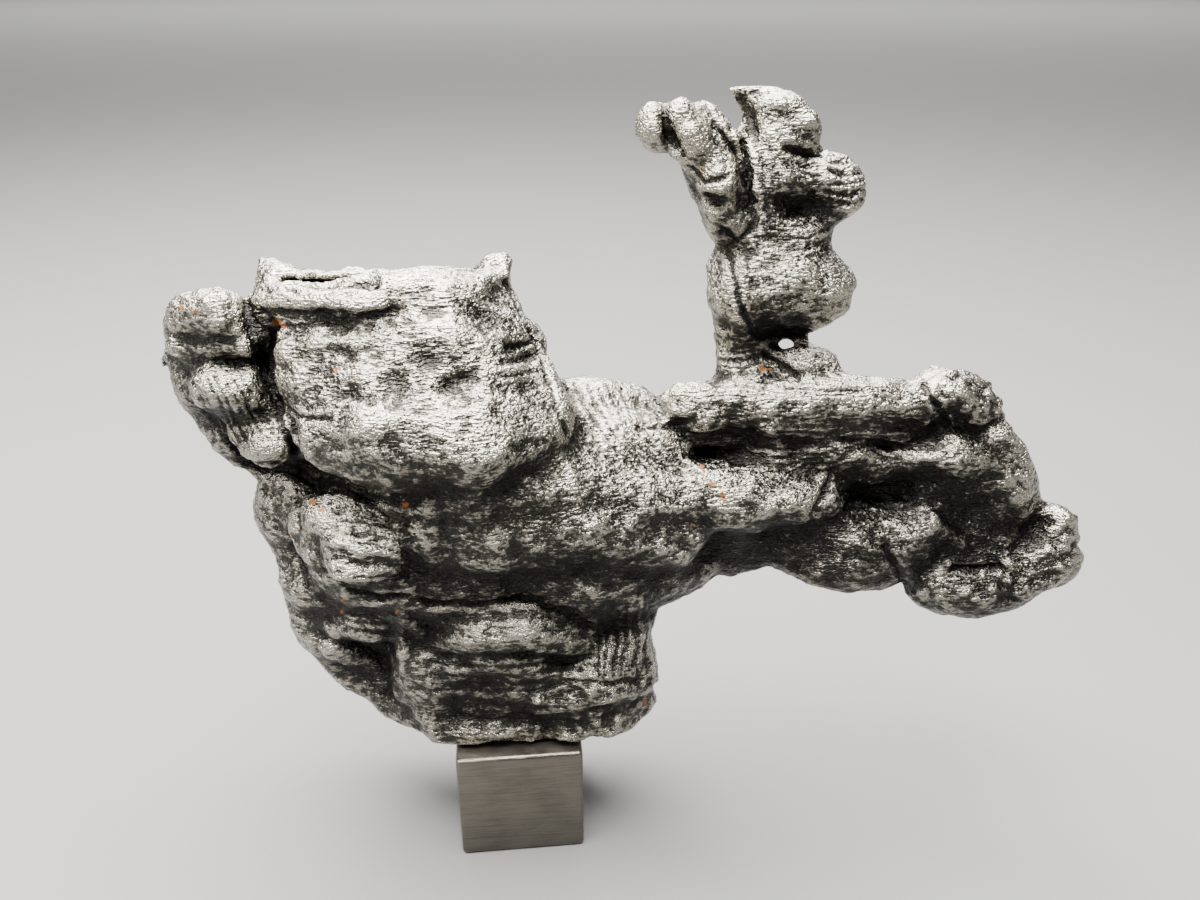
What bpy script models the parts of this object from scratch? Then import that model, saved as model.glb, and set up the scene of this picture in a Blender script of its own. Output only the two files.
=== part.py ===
"""Iron meteorite end cut on a small steel stand cube.

The stone is one natural piece of metal. Its back was sawn off flat, and the rest keeps the lumps,
rolls, pits and creases that it fell with. It is built the way clay is: short rolls of balls are
laid side by side, fused into one skin, dented, thinned to large facets and cut flat.

Millimetres below are turned into metres by MM. +X is the length of the stone, +Y points out of
its cut face, +Z is up. The origin is the centre of the cube's underside.

A ball is given as (x, z, depth, radius). x and z are where it is seen from EYE on the upright
plane y = 0, and depth is its real y, so rolls at different depths still meet in the one outline.
"""

from math import ceil, radians

import bmesh
import bpy
import numpy as np
from mathutils import Matrix, Vector, noise

MM = 0.001

# Stand cube
CUBE_SIDE = 10.0
CUBE_BEVEL = 0.35
CUBE_TURN = radians(5.75)

# Stone
EYE = Vector((6.8, -64.5, 66.3))
CUT_Y = 6.5
SEAT_GAP = 0.3
SEAT_Z = CUBE_SIDE + SEAT_GAP
BEYOND = 100.0

# Skin: spacing of the balls as a share of their radius, squares, smoothing, facets
BALL_STEP = 0.45
FUSE_VOXEL = 0.45
SMOOTH_ROUNDS = 4
FACET_COUNT = 8600

# Relief: dents stop short of the cut face, and lumps come in two sizes of (length, rise)
DENT_BACK_LIMIT = CUT_Y - 1.0
LUMP_WAVES = ((3.4, 0.5), (1.7, 0.3))

# Small gap above the arm: its place as seen, its half width and half height, its two ends in depth
EYELET = (19.5, 42.5)
EYELET_HALF = (0.62, 0.36)
EYELET_ENDS = (-8.0, 14.0)

MAIN_MASS = {
    "back": [(-12, 43.2, 6, 4), (-6.5, 42.6, 6, 4.7), (-2.7, 43.4, 6, 4.1)],
    "back, bottom": [(-13.2, 38.3, 6, 4.4), (-7, 37.4, 6, 5.4), (-0.8, 38, 6, 4.5)],
    "core, top": [(-12.4, 44.0, 2.5, 3.2), (-9, 43.2, 2.2, 4.1), (-5, 43.4, 2.2, 4.6),
                  (-2.2, 43.8, 2.2, 4)],
    "core, bottom": [(-13.5, 38.5, 1.5, 4.2), (-8, 37.6, 1, 5.6), (-1, 38, 1, 5.2)],
    "core, face": [(-11.5, 41.4, 0, 3.6), (-7.5, 40.8, -1, 4.6), (-3, 41.2, -0.8, 4.6),
                   (-0.6, 41.4, 0, 3.6)],
    "left corner": [(-14.7, 47.3, 2.2, 1.4), (-14.6, 45.6, 1, 1.9)],
    "right corner": [(-0.9, 46.3, 2.5, 1.8), (-0.7, 46.6, 0.4, 1.4)],
    "right burr": [(-0.2, 48.1, 1, 0.9), (0.5, 47.9, 0.8, 0.85)],
    "thin lip": [(-14.8, 47.9, 1.5, 0.7), (-12, 47.3, 0.9, 0.55), (-10, 47.2, 0.9, 0.55),
                 (-8.4, 47.2, 0.9, 0.55)],
    "brow": [(-14.1, 45.6, -1.8, 1.4), (-11.6, 45.9, -2.9, 1.2), (-8.6, 45.8, -3.1, 1.45),
             (-6, 46.3, -2.6, 1.2), (-3.6, 46, -2.6, 1.5), (-1.5, 46.5, -1.4, 1.2)],
    "face, top": [(-13.7, 42.2, -2.9, 1.6), (-10.6, 41.6, -3.9, 1.9), (-7.2, 42.8, -3.7, 1.7),
                  (-3.6, 42.6, -3.9, 2.0), (-0.3, 43.7, -2.2, 1.6)],
    "face, left": [(-13.4, 39.8, -3.6, 2), (-9.8, 39.4, -4.4, 2.6), (-7, 40.4, -4.6, 2.2)],
    "face, right": [(-5.4, 39.2, -4.6, 2.6), (-1.6, 40.4, -4.0, 2.4), (0.4, 40.1, -3.4, 1.9)],
    "belly": [(-12.2, 36.8, -3.4, 3.2), (-7.4, 36.3, -4.4, 4.4), (-2.4, 36.1, -4.4, 4.4),
              (1.8, 36.2, -3, 3.2)],
    "belly, foot": [(-3.4, 32, -3.7, 3.2), (0.4, 31.8, -3.8, 3.2), (3.6, 32.4, -3.1, 3)],
    "right fold": [(-0.3, 46.2, 0.2, 1.2), (0.4, 44.3, -0.8, 1.3), (1.1, 42.1, -1.6, 1.5),
                   (2.2, 39.7, -2.4, 1.7), (2.8, 37.4, -3, 1.7), (2.7, 35.2, -3.4, 1.8)],
}

LEFT_KNOB = {
    "back": [(-19.2, 43.2, 5.5, 2.9), (-19.6, 40, 5.5, 3), (-18.4, 36.8, 5.5, 2.9)],
    "back, neck": [(-16, 42.6, 5.5, 3), (-15.6, 38.5, 5.5, 3.4)],
    "core": [(-19.7, 43.6, 2, 3), (-20, 40.4, 2, 2.9), (-18.9, 37, 2, 2.8), (-17.8, 35, 2, 2.4)],
    "neck": [(-16.5, 43.5, 2, 2.1), (-16, 40, 1.5, 3), (-16, 37, 1, 2.8)],
    "top facet": [(-20.8, 44.6, -0.4, 1.7), (-18.9, 44.8, -1.2, 1.75)],
    "top facet, right": [(-17.7, 43.6, -1.2, 1.5)],
    "middle facet": [(-19.9, 39.5, -1.4, 2.1), (-18.3, 39, -2.2, 1.7)],
    "lower facet": [(-18.3, 36.2, -1.6, 1.6), (-16.8, 34.9, -2.8, 1.6)],
    "side rim": [(-22, 42.6, 1.5, 1), (-21.7, 39.7, 1.2, 1.1), (-20.6, 36.6, 1.5, 1.1)],
    "side spike": [(-23, 41.5, 1.5, 0.65)],
}

TRUNK = {
    "back, shoulders": [(-12.4, 28.5, 6, 4.8), (-6, 28, 6, 5.8), (0, 27, 6, 5.8), (4.6, 27, 5, 5.4)],
    "back, waist": [(-12, 23, 6, 4.7), (-6, 21.4, 6, 5.8), (0, 20.4, 6, 5.8), (4.4, 20, 5, 5)],
    "back, base": [(-9.2, 17, 5.5, 3.8), (-4, 15, 5.5, 4.4), (2, 14.6, 5.5, 4.6), (6, 15, 4.5, 4.2)],
    "core, shoulders": [(-13.2, 25, 1.5, 4.6), (-7, 26, 0.5, 6), (-1, 26, 0.5, 6), (5, 26, 1, 5.8),
                        (9.5, 26.3, 1.5, 5.2), (12.8, 26.2, 1.8, 3.5)],
    "core, waist": [(-5, 17, 1, 5.5), (0.5, 17, 1, 5.5), (5.5, 17, 1, 5.3)],
    "core, base": [(-4, 12, 1, 4.4), (1, 12, 1, 4.6), (6.8, 12.9, 1, 4.5)],
    "flank": [(-14.9, 31, 2, 3.7), (-13, 20.3, 2, 4.3), (-12.4, 17.6, 2.3, 3.7), (-9.4, 13.6, 1.4, 3.2)],
    "flank, low": [(-9.2, 12.2, 0, 2.1), (-7.7, 10.4, -1.2, 1.8)],
    "flank sheet": [(-17.6, 31.2, 1.2, 1), (-17.2, 29.2, 0.8, 1)],
    "flank spike": [(-18.1, 29.7, 1.5, 0.8)],
    "flank rim": [(-16.3, 26, -0.2, 1.1), (-16.2, 22.6, -0.2, 1.1), (-15.2, 18.8, 0.2, 1.2),
                  (-14.2, 15.6, 1, 1.1)],
    "second tier": [(-13.8, 27.9, -2.6, 2.7), (-11, 27.5, -3.7, 3), (-8.6, 27.6, -3.5, 2.6)],
    "second tier, foot": [(-12.8, 24.7, -2.8, 2.5), (-9.5, 24.3, -3.7, 2.7)],
    "third tier": [(-13.2, 20, -1.6, 2), (-11, 19.5, -2.2, 2)],
    "underside": [(-4.6, 29.4, -2.6, 3.8), (-0.6, 28.8, -3.2, 3.9), (3.4, 29.2, -2.8, 3.8),
                  (7.4, 28.8, -1.8, 3.7), (11.6, 28, -1, 3.3)],
    "underside, foot": [(-3.8, 25, -1.2, 3.6), (0.6, 24.7, -1, 3.8), (4.6, 25.3, -0.9, 3.8),
                        (8.2, 25, -0.5, 3.6), (11.6, 24.8, 0, 2.9)],
    "arch": [(-4.9, 19.1, -3, 1.4), (-2.6, 19.8, -3.5, 1.5), (0.4, 20, -3.6, 1.7),
             (2.8, 19.5, -3.2, 1.5), (4.9, 17.8, -2.6, 1.3)],
    "below the arch": [(-4.4, 16.6, -2.5, 2.1), (-1.4, 17.2, -2.9, 2.2), (1.4, 16.4, -2.6, 2.2)],
    "left edge": [(-8.9, 19.3, -3, 0.9), (-8.6, 17, -3.4, 0.85), (-8.7, 14.6, -3.2, 0.9)],
    "left face": [(-6.5, 17.5, -1.8, 2.7), (-6.3, 14, -1.8, 2.7), (-6, 11, -1.7, 2.5)],
    "lower band": [(-4.6, 13.5, -2.2, 2.2), (-1.2, 14.1, -2.6, 2), (1.6, 13.4, -2.3, 2.3),
                   (4.2, 14.2, -2, 2.1)],
    "lower ridge": [(3.4, 11.5, -2.4, 1.3), (6, 11.5, -2.4, 1.5), (8, 12.3, -1.6, 1.3),
                    (9.8, 12.1, -0.8, 1.4)],
    "right side": [(9.6, 21.2, 0.4, 2.2), (8.5, 18, 0, 2.5), (8.8, 15.4, 0, 2.6)],
    "right burr": [(9.7, 13.9, -0.8, 0.9), (11, 13.7, -0.2, 0.8)],
    "right burr, low": [(10.6, 12, 0.2, 1.1)],
    "foot": [(-7, 8.4, -3, 1.1), (-4.2, 8.4, -3, 1.4), (-1.4, 9, -2.8, 1.4), (2, 10.2, -2, 1.4),
             (5, 9, -2.7, 1.1), (7.6, 10.7, -1.6, 1.2)],
    "foot burr": [(4, 8.3, -3.2, 0.9), (5.2, 8, -3.1, 0.8)],
}

SADDLE = {
    "crest": [(4.6, 37.4, 2.5, 2.6), (6.5, 37.7, 2.5, 2.5), (8.8, 36.9, 2.5, 2.4),
              (10.8, 36.3, 2.5, 2.2)],
    "slope": [(5.5, 34.8, 0, 3.4), (8, 34.3, 0, 3.4), (11, 33.6, 0.5, 3.1)],
    "brim": [(4.2, 31.6, -2.6, 3), (7.4, 31.6, -2.1, 2.8), (10.6, 30.8, -1.8, 2.7),
             (14, 31.2, -1.3, 2.5), (17.4, 30.4, -1.1, 2.5), (20.6, 30.6, -0.7, 2.3),
             (23, 31.2, 0, 1.9)],
}

RIGHT_ARM = {
    "core, top": [(12.8, 37.9, 2.5, 2), (15, 37.6, 2.5, 2.5), (20, 37.8, 2.5, 2.4), (25, 37.8, 2.5, 2.3),
                  (29.5, 37.6, 2.5, 2.2)],
    "top roll": [(12.7, 38.3, 0, 1.5), (14.4, 37.6, 0, 1.8), (17.6, 38.2, 0, 1.8), (21, 38, -0.2, 2),
                 (25, 38.2, 0, 1.8), (29, 37.9, 0.2, 1.8)],
    "crusty knob": [(30.4, 38.6, 1.2, 2), (32, 38.9, 1, 1.6), (33.2, 38.2, 1, 1.7),
                    (34.3, 37.4, 1.2, 1.2)],
    "core, middle": [(14, 34.2, 2.2, 2.9), (19, 34, 2.4, 3.1), (24, 33.9, 2.6, 3.3),
                     (28, 33.6, 2.8, 3.4), (32, 33.4, 2.8, 3.6), (33, 31, 2.8, 3.2)],
    "band": [(19.4, 34.6, 0.2, 1.9), (22.6, 34.8, 0.2, 1.9), (25.6, 34.2, 0.8, 1.8)],
    "core, root": [(16.5, 28.8, 2, 3.5), (16.5, 26.8, 2, 3.1), (19.5, 27.8, 2, 2.9),
                   (21.5, 29.6, 1.8, 2.8)],
    "striated ridge": [(26, 33.2, 0.4, 1.3), (29, 33.7, 0.1, 1.4), (32, 34.4, 0.1, 1.5),
                       (34.3, 33.8, 0.5, 1.5)],
    "bulge": [(22.2, 27.3, 1.2, 3.5), (25.6, 26.4, 0.9, 4.1), (28.8, 26.9, 1.2, 3.6)],
    "bulge, top": [(26.2, 28.6, 1.4, 2.8), (30.6, 28.6, 1.6, 2.9)],
    "end plate": [(34.4, 33.4, 2.4, 3.4), (35.7, 31, 2.4, 3.3), (36.5, 28.8, 2.4, 3.1),
                  (33, 27.8, 2.2, 3)],
    "end rim": [(35.3, 35, 0.8, 1.4), (36.6, 33, 0.8, 1.5), (37.4, 30.7, 0.8, 1.5),
                (37.9, 29.1, 1, 1.3)],
    "lobe": [(33.4, 23.5, 1.3, 3.4), (36.4, 23.5, 1.3, 3.4), (39.5, 25, 1.6, 3.1), (41, 24.6, 1.6, 2.5)],
    "lobe knob": [(40.6, 27.9, 1.8, 2)],
    "lobe tip": [(42.8, 24.9, 1.3, 0.7)],
}

UPPER_ARM = {
    "foot": [(17.2, 40, 2.2, 2.5), (16.7, 41.6, 2.2, 2), (16.6, 43.4, 2.2, 2), (16.9, 45.6, 2.2, 3)],
    "foot lump": [(19.2, 41, 1.6, 1.1), (21, 41.4, 1.6, 1.25), (22.3, 41, 1.6, 1.1)],
    "belly": [(17.3, 46.6, 1.8, 3.4), (19.4, 46.8, 1.4, 2.9), (21.2, 46.2, 1.8, 2.7)],
    "belly, left": [(16.1, 47.8, 2.2, 2.5)],
    "under the belly": [(19.5, 44.2, 2.8, 1.5)],
    "waist": [(17, 49.6, 2.4, 2.8), (19.7, 50.2, 2.4, 2.4)],
    "chest": [(17.3, 51.6, 2.4, 2.6), (19.5, 51.8, 2.6, 2.3), (18.8, 53.6, 2.4, 2.5),
              (17.1, 53.6, 2.4, 2.6)],
    "left column": [(15.5, 51.5, 2.2, 2.7), (14.8, 53.6, 2.2, 2.6), (13.3, 55.5, 2.2, 1.9)],
    "left column lump": [(14.2, 53.9, 0.4, 1.3), (14.6, 51, 0.8, 1.3)],
    "left prong": [(10.7, 56.8, 2.2, 1.7), (12.7, 56.7, 2.2, 1.85)],
    "left prong knob": [(9.9, 56.9, 1.2, 1.3)],
    "left prong roll": [(11.6, 57.3, 0.8, 1.2), (12.4, 55.7, 0.7, 1.35)],
    "left prong strip": [(13.4, 57.4, 1.6, 0.9), (14.8, 55.8, 1.6, 0.9)],
    "right prong": [(18.2, 57.2, 2.2, 1.7), (18.6, 56.1, 2, 1.9)],
    "right prong wall": [(16.6, 57.5, 3, 1.3), (16.8, 56, 2.8, 1.3)],
    "right prong lip": [(17.4, 58.6, 2.6, 0.6), (16.2, 58.6, 2.8, 0.5), (15.2, 58.5, 2.8, 0.5)],
    "right knob": [(21.6, 53.4, 2, 2), (22.3, 52.6, 2, 1.8)],
}

# Each region with the share of its balls' thickness kept in depth
REGIONS = (
    (MAIN_MASS, 1.0),
    (LEFT_KNOB, 1.0),
    (TRUNK, 1.0),
    (SADDLE, 0.95),
    (RIGHT_ARM, 0.75),
    (UPPER_ARM, 0.75),
)

# A dent is (width, depth, path), its path given in x and z as seen on y = 0. It is deepest on the
# path and fades out at twice its width from it.
DENTS = {
    "knob groove": (0.5, 1.1, [(-16.9, 45), (-16.5, 42.5), (-16, 40), (-15.3, 38), (-15, 35.5)]),
    "knob band": (0.7, 0.8, [(-20.6, 42.2), (-18, 42.2)]),
    "knob crease": (0.35, 0.5, [(-20, 37.2), (-19, 36.3), (-18.8, 34.6)]),
    "corner pit": (0.5, 1.0, [(-15.2, 38)]),
    "brow shadow": (0.4, 0.5, [(-14.5, 44.2), (-11, 44), (-6.5, 43.9)]),
    "lip shadow": (0.35, 0.7, [(-12.8, 47), (-8.6, 47)]),
    "face pit, left": (0.45, 0.4, [(-11.9, 42), (-11.2, 41.8)]),
    "face pit, low": (0.5, 0.4, [(-11.6, 39.4), (-10.6, 39.2)]),
    "face pit, right": (0.6, 0.6, [(-1.3, 44.2), (0.6, 44)]),
    "face slot": (0.4, 0.7, [(0.2, 42), (2.2, 41.7)]),
    "face pit, middle": (0.55, 0.8, [(-3.9, 39.3), (-2.4, 40.2)]),
    "belly crease": (0.5, 0.9, [(-19.3, 33.4), (-16.2, 33), (-12.9, 32), (-10, 31.3), (-7.5, 30.6)]),
    "second tier crease": (0.35, 0.6, [(-11.5, 21.9), (-8.5, 21.9), (-6.5, 21.2)]),
    "flank hollow": (0.9, 0.9, [(-12.8, 16.8), (-11.2, 15.3), (-10.3, 13.4)]),
    "arch crease": (0.4, 0.8, [(-7, 21.8), (-5, 21), (-2, 21.2), (1, 21.8), (3.2, 21), (5.6, 19.2)]),
    "arch pit": (0.45, 0.8, [(2.9, 16.5), (3.9, 16.4)]),
    "arm pit": (0.65, 1.1, [(14.3, 34.2), (18.5, 34.2)]),
    "arm crease": (0.4, 0.4, [(19, 36.2), (24, 36.3), (30, 36), (34.5, 35.9)]),
    "arm hollow": (0.9, 1.2, [(25.3, 31.2), (28.8, 31.2)]),
    "arm edge": (0.35, 0.5, [(24.2, 32.6), (23, 29.6)]),
    "root slot": (0.35, 0.5, [(12.6, 27), (14.2, 25.2)]),
    "lobe slot": (0.35, 0.9, [(34, 24.7), (37.2, 24.8)]),
    "lobe hollow": (0.5, 0.6, [(36.5, 27.8), (39.4, 28)]),
    "chest pit": (0.7, 1.3, [(19, 51.9), (19.7, 51.9)]),
    "column pit": (0.35, 0.6, [(13.9, 52.1), (14.7, 52.1)]),
    "chest groove": (0.3, 0.7, [(15.6, 55.4), (16, 53.5), (16.6, 51.6)]),
    "prong groove": (0.3, 0.5, [(10.9, 57.8), (11.3, 55.4)]),
    "prong crease": (0.3, 0.5, [(19.4, 55.4), (20.6, 55.1)]),
    "belly shadow": (0.5, 0.8, [(17.9, 43.8), (20.2, 43.8)]),
    "waist dip": (0.5, 0.5, [(15.3, 49.4), (16.6, 49)]),
}


def material(name, colour, metallic, roughness):
    """A plain Principled finish."""
    finish = bpy.data.materials.new(name)
    finish.use_nodes = True
    shader = finish.node_tree.nodes["Principled BSDF"]
    shader.inputs["Base Color"].default_value = (*colour, 1.0)
    shader.inputs["Metallic"].default_value = metallic
    shader.inputs["Roughness"].default_value = roughness
    return finish


def node(name, mesh, finish):
    """An object of the scene, with its finish if it has one."""
    piece = bpy.data.objects.new(name, mesh)
    bpy.context.scene.collection.objects.link(piece)
    if finish:
        piece.data.materials.append(finish)
    return piece


def place(x, z, depth):
    """The point at the given depth that EYE sees at x and z on the plane y = 0."""
    seen = Vector((x, 0.0, z))
    return EYE + (seen - EYE) * ((depth - EYE.y) / (seen.y - EYE.y))


def unit_ball():
    """The points and the faces of a closed ball of radius one."""
    bm = bmesh.new()
    bmesh.ops.create_icosphere(bm, subdivisions=3, radius=1.0)
    points = np.array([vertex.co for vertex in bm.verts])
    faces = np.array([[vertex.index for vertex in face.verts] for face in bm.faces])
    bm.free()
    return points, faces


def roll(stations):
    """Centres and radii of balls along a spine, changing evenly from one station to the next."""
    spine = [(place(x, z, depth), radius) for x, z, depth, radius in stations]
    balls = [spine[0]]
    for (start, start_radius), (end, end_radius) in zip(spine, spine[1:]):
        count = ceil((end - start).length / (BALL_STEP * min(start_radius, end_radius)))
        for step in range(1, count + 1):
            share = step / count
            balls.append((start.lerp(end, share), start_radius + (end_radius - start_radius) * share))
    return balls


def applied(piece):
    """The piece's mesh with its modifiers carried out."""
    graph = bpy.context.evaluated_depsgraph_get()
    return bpy.data.meshes.new_from_object(piece.evaluated_get(graph))


def fused_lumps():
    """All the rolls as one closed skin, in millimetres."""
    ball_points, ball_faces = unit_ball()
    points, faces = [], []
    for region, depth_share in REGIONS:
        for stations in region.values():
            for centre, radius in roll(stations):
                faces.append(ball_faces + len(points) * len(ball_points))
                points.append(ball_points * (radius, radius * depth_share, radius) + centre)
    mesh = bpy.data.meshes.new("rolls")
    mesh.from_pydata(np.concatenate(points), [], np.concatenate(faces))
    rolls = node("rolls", mesh, None)
    fuse = rolls.modifiers.new("fuse", "REMESH")
    fuse.mode = "VOXEL"
    fuse.voxel_size = FUSE_VOXEL
    skin = applied(rolls)
    bpy.data.objects.remove(rolls)
    return skin


def distance_to_path(seen, path):
    """Distance of each seen point to the nearest stretch of a path."""
    nearest = np.full(len(seen), np.inf)
    for start, end in zip(path, path[1:] or path):
        start, along = np.array(start), np.subtract(end, start)
        share = np.clip((seen - start) @ along / max(along @ along, 1e-9), 0.0, 1.0)
        gap = seen - start - share[:, None] * along
        nearest = np.minimum(nearest, np.linalg.norm(gap, axis=1))
    return nearest


def press_dents(points, normals):
    """Pushes the skin that faces EYE away from it along each dent, deepest on the path."""
    eye = np.array(EYE)
    away = points - eye
    seen = eye + away * (-EYE.y / away[:, 1:2])
    away /= np.linalg.norm(away, axis=1)[:, None]
    push = np.zeros(len(points))
    for width, depth, path in DENTS.values():
        near = distance_to_path(seen[:, ::2], path) / (2.0 * width)
        push = np.maximum(push, depth * np.clip(1.0 - near * near, 0.0, 1.0) ** 2)
    push[points[:, 1] > DENT_BACK_LIMIT] = 0.0
    push[np.einsum("ij,ij->i", normals, away) > 0.0] = 0.0
    return points + away * push[:, None]


def raise_lumps(points, normals):
    """Swells and sinks the skin in uneven lumps, so that no roll stays smooth."""
    height = np.zeros(len(points))
    for length, rise in LUMP_WAVES:
        height += [rise * noise.noise(Vector(point / length)) for point in points]
    return points + normals * height[:, None]


def roughened(mesh):
    """The skin with its dents and lumps."""
    points = np.empty(3 * len(mesh.vertices))
    mesh.vertices.foreach_get("co", points)
    points = points.reshape(-1, 3)
    normals = np.array([vertex.normal for vertex in mesh.vertices])
    points = raise_lumps(press_dents(points, normals), normals)
    mesh.vertices.foreach_set("co", points.ravel())
    mesh.update()
    return mesh


def hidden_block(name, bm):
    """A cutting shape that is neither drawn nor rendered."""
    mesh = bpy.data.meshes.new(name)
    bm.to_mesh(mesh)
    bm.free()
    block = node(name, mesh, None)
    block.hide_render = True
    block.display_type = "WIRE"
    return block


def cutter(name, low, high):
    """A hidden block that takes material away, given by two corners in millimetres."""
    low, high = Vector(low) * MM, Vector(high) * MM
    bm = bmesh.new()
    size = Matrix.Diagonal((*(high - low), 1.0))
    bmesh.ops.create_cube(bm, size=1.0, matrix=Matrix.Translation((low + high) / 2) @ size)
    return hidden_block(name, bm)


def eyelet_drill():
    """A hidden eight-sided rod along the line of sight through the small gap above the arm."""
    front, back = (place(*EYELET, depth) * MM for depth in EYELET_ENDS)
    bm = bmesh.new()
    aim = (back - front).to_track_quat("Z", "Y").to_matrix().to_4x4()
    flat = Matrix.Diagonal((EYELET_HALF[0] * MM, EYELET_HALF[1] * MM, (back - front).length, 1))
    bmesh.ops.create_cone(bm, cap_ends=True, segments=8, radius1=1.0, radius2=1.0, depth=1.0,
                          matrix=Matrix.Translation((front + back) / 2) @ aim @ flat)
    return hidden_block("eyelet", bm)


def cut_away(piece, block):
    """Takes a block out of a piece."""
    cut = piece.modifiers.new(block.name, "BOOLEAN")
    cut.operation = "DIFFERENCE"
    cut.object = block


def build_meteorite():
    """The stone: fused, dented, thinned to facets, sawn flat at the back and level on its seat."""
    skin = roughened(fused_lumps())
    skin.transform(Matrix.Scale(MM, 4))
    stone = node("meteorite", skin, material("meteorite iron", (0.21, 0.2, 0.185), 1.0, 0.4))
    soften = stone.modifiers.new("soften", "SMOOTH")
    soften.factor = 0.5
    soften.iterations = SMOOTH_ROUNDS
    thin = stone.modifiers.new("facets", "DECIMATE")
    thin.ratio = FACET_COUNT / (2 * len(skin.polygons))
    cut_away(stone, cutter("saw cut", (-BEYOND, CUT_Y, -BEYOND), (BEYOND, BEYOND, BEYOND)))
    cut_away(stone, cutter("seat cut", (-BEYOND, -BEYOND, -BEYOND), (BEYOND, BEYOND, SEAT_Z)))
    cut_away(stone, eyelet_drill())
    return stone


def build_stand_cube():
    """The steel cube, its edges eased, turned a little under the stone."""
    bm = bmesh.new()
    turn = Matrix.Rotation(CUBE_TURN, 4, "Z") @ Matrix.Translation((0, 0, CUBE_SIDE * MM / 2))
    bmesh.ops.create_cube(bm, size=CUBE_SIDE * MM, matrix=turn)
    mesh = bpy.data.meshes.new("stand_cube")
    bm.to_mesh(mesh)
    bm.free()
    cube = node("stand_cube", mesh, material("brushed steel", (0.42, 0.4, 0.36), 1.0, 0.38))
    ease = cube.modifiers.new("eased edges", "BEVEL")
    ease.width = CUBE_BEVEL * MM
    ease.segments = 2
    return cube


def main():
    for piece in list(bpy.data.objects):
        bpy.data.objects.remove(piece)
    build_meteorite()
    build_stand_cube()


main()
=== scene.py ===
"""Iron meteorite end cut on a small steel cube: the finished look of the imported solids.

The stone is sculpted over its solid. Places on it are given as they are seen from EYE, in the
columns and rows of a 1200 by 900 frame, and each is carried along its line of sight onto the
metal. Sculpting is in millimetres; the finished meshes are in metres.
"""

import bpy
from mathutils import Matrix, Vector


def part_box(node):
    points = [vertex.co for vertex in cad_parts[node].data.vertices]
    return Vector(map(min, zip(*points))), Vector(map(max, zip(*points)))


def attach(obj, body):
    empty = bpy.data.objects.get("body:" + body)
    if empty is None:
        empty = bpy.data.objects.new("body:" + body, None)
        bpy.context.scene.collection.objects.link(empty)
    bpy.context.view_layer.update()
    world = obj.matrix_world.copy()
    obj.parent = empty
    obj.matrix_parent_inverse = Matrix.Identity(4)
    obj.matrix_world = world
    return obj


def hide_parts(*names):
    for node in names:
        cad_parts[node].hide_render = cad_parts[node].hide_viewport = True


bl_info = {
    "name": "Iron Meteorite End Cut",
    "version": (1, 0, 0),
    "blender": (4, 5, 0),
    "location": "View3D > Sidebar > End Cut",
    "description": "Builds an iron meteorite end cut on its steel cube, with floor, lights and camera",
    "category": "Add Mesh",
}

from math import ceil, pi, radians
from random import Random

import bmesh
import bpy
import numpy as np
from mathutils import Matrix, Vector, noise
from mathutils.bvhtree import BVHTree

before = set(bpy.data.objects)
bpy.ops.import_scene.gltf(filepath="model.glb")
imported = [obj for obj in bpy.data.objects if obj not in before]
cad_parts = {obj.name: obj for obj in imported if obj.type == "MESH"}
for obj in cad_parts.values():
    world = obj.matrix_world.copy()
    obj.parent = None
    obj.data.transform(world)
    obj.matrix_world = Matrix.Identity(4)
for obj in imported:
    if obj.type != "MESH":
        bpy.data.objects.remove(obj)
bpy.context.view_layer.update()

# The eye's place is in millimetres, the lens in pixels of the frame
MM = 0.001
EYE = Vector((6.8, -64.5, 66.3))
EYE_PITCH = radians(26.3)
FRAME_WIDTH, FRAME_HEIGHT = 1200, 900
LENS_PIXELS = 1000.0
RIGHT = Vector((1, 0, 0))
FORWARD = Matrix.Rotation(-EYE_PITCH, 3, "X") @ Vector((0, 1, 0))
UP = RIGHT.cross(FORWARD)


# Places in the frame

def sight(column, row):
    """Direction of the line of sight through a place in the frame."""
    across = (column - FRAME_WIDTH / 2) / LENS_PIXELS
    down = (row - FRAME_HEIGHT / 2) / LENS_PIXELS
    return (FORWARD + RIGHT * across - UP * down).normalized()


def at_depth(column, row, depth):
    """The point on the line of sight whose y is the given depth."""
    line = sight(column, row)
    return EYE + line * ((depth - EYE.y) / line.y)


def columns_and_rows(points):
    """Where points are seen in the frame."""
    away = points - np.array(EYE)
    reach = away @ np.array(FORWARD)
    across = away @ np.array(RIGHT) / reach
    up = away @ np.array(UP) / reach
    columns = FRAME_WIDTH / 2 + LENS_PIXELS * across
    rows = FRAME_HEIGHT / 2 - LENS_PIXELS * up
    return np.stack([columns, rows], axis=1)


# Settings

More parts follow.
